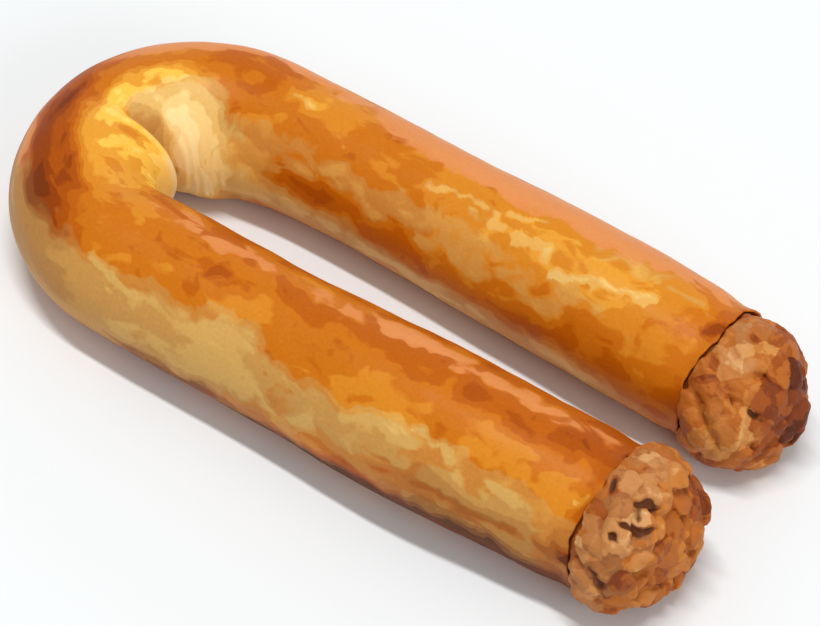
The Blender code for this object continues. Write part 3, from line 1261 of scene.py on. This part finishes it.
def meat_material():
    s = Shader("ground_meat")
    place = s.node("ShaderNodeTexCoord", {}).outputs["Object"]
    large = s.noise(place, *LUMPS)
    fine = s.noise(place, *FIBRES)
    cavity = s.attribute("cavity")
    tone = s.wander(s.attribute("shade"), (large, 0.50), (fine, 0.14))
    # Painted shade: hollows and cracks are darkened, and the deepest take the crevice shade
    # colour.
    tone = s.math("SUBTRACT", tone, s.math("MULTIPLY", cavity, 0.16))
    fat = s.wander(s.attribute("fat"), (large, 0.8), (fine, 0.3))
    colour = s.mix(s.steps(fat, *FAT_EDGE), s.ramp(tone, LEAN_LEVELS), s.ramp(tone, FAT_LEVELS))
    colour = s.mix(s.steps(cavity, *CREVICE_SHADE_EDGE), colour, srgb(*CREVICE_SHADE_COLOUR))
    s.set(Base_Color=colour, Subsurface_Weight=0.06, Subsurface_Scale=0.0015)
    s.set(Subsurface_Radius=(1.0, 0.40, 0.20), Specular_IOR_Level=0.18)
    s.set(Roughness=s.math("ADD", 0.42, s.math("MULTIPLY", fine, 0.25)))
    normal = s.bump(fine, strength=0.45, distance=0.0005)
    s.set(Normal=s.bump(s.noise(place, *SPECKS), strength=0.25, distance=0.0003, normal=normal))
    return s.material


# ---------------------------------------------------------------- stage

FLOOR_SIZE = 4.0
FLOOR_COLOUR = (232, 235, 236)
WORLD_LIGHT = 0.44
LIGHTS = (
    # name, direction from the sausage, distance, size, power
    ("key", (0.0, -0.06, 0.98), 6.0, (3.4, 0.34), 229.0),
    ("back", (-0.404, 0.84, 0.376), 4.8, (4.0, 1.0), 24.0),
    ("front", (0.84, -0.30, 0.46), 5.2, (2.8, 2.0), 78.0),
)
CAMERA_AZIMUTH = math.radians(36.74)
CAMERA_ELEVATION = math.radians(47.46)
CAMERA_DISTANCE = 0.9
CAMERA_LENS = 175.3
# What the camera looks at, from the bend's centre, and the picture centre's small shift.
CAMERA_TARGET = Vector((0.060, 0.0, 0.017))
CAMERA_AIM = (0.00076, -0.00211)


def camera_axes():
    sin_a, cos_a = math.sin(CAMERA_AZIMUTH), math.cos(CAMERA_AZIMUTH)
    sin_e, cos_e = math.sin(CAMERA_ELEVATION), math.cos(CAMERA_ELEVATION)
    right = Vector((cos_a, sin_a, 0))
    up = Vector((-sin_e * sin_a, sin_e * cos_a, cos_e))
    back = Vector((sin_a * cos_e, -cos_a * cos_e, sin_e))
    return right, up, back


def place_camera():
    right, up, back = camera_axes()
    data = bpy.data.cameras.new("camera")
    data.sensor_width = 36
    data.lens = CAMERA_LENS
    data.clip_start = 0.01
    camera = bpy.data.objects.new("camera", data)
    bpy.context.scene.collection.objects.link(camera)
    target = CAMERA_TARGET + Vector((*BEND_CENTRE, 0))
    target += right * CAMERA_AIM[0] + up * CAMERA_AIM[1]
    turn = Matrix((right, up, back)).transposed().to_4x4()
    turn.translation = target + back * CAMERA_DISTANCE
    camera.matrix_world = turn
    bpy.context.scene.camera = camera


def area_light(name, position, size, power):
    """Soft light that faces the sausage."""
    data = bpy.data.lights.new(name, "AREA")
    data.shape = "RECTANGLE"
    data.size, data.size_y = size
    data.energy = power
    light = bpy.data.objects.new(name, data)
    bpy.context.scene.collection.objects.link(light)
    light.location = position
    light.rotation_euler = (-position).to_track_quat("-Z", "Y").to_euler()


def build_stage():
    data = bpy.data.meshes.new("floor")
    half = FLOOR_SIZE / 2
    corners = [(-half, -half, 0), (half, -half, 0), (half, half, 0), (-half, half, 0)]
    data.from_pydata(corners, [], [(0, 1, 2, 3)])
    s = Shader("pale_floor")
    s.set(Base_Color=srgb(*FLOOR_COLOUR), Roughness=0.9, Specular_IOR_Level=0.1)
    make_object("floor", data, s.material)
    world = bpy.data.worlds.new("studio")
    world.use_nodes = True
    glow = world.node_tree.nodes["Background"]
    glow.inputs["Color"].default_value = (1, 1, 1, 1)
    glow.inputs["Strength"].default_value = WORLD_LIGHT
    bpy.context.scene.world = world
    for name, direction, distance, size, power in LIGHTS:
        area_light(name, Vector(direction).normalized() * distance, size, power)
    bpy.context.scene.view_settings.view_transform = "Standard"


# ---------------------------------------------------------------- assembly


def main():
    build_stage()
    place_camera()
    skin = build_skin(skin_material())
    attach(skin, "root")
    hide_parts("casing")
    meat = build_meat(meat_material())
    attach(meat, "root")
    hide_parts("filling")


main()
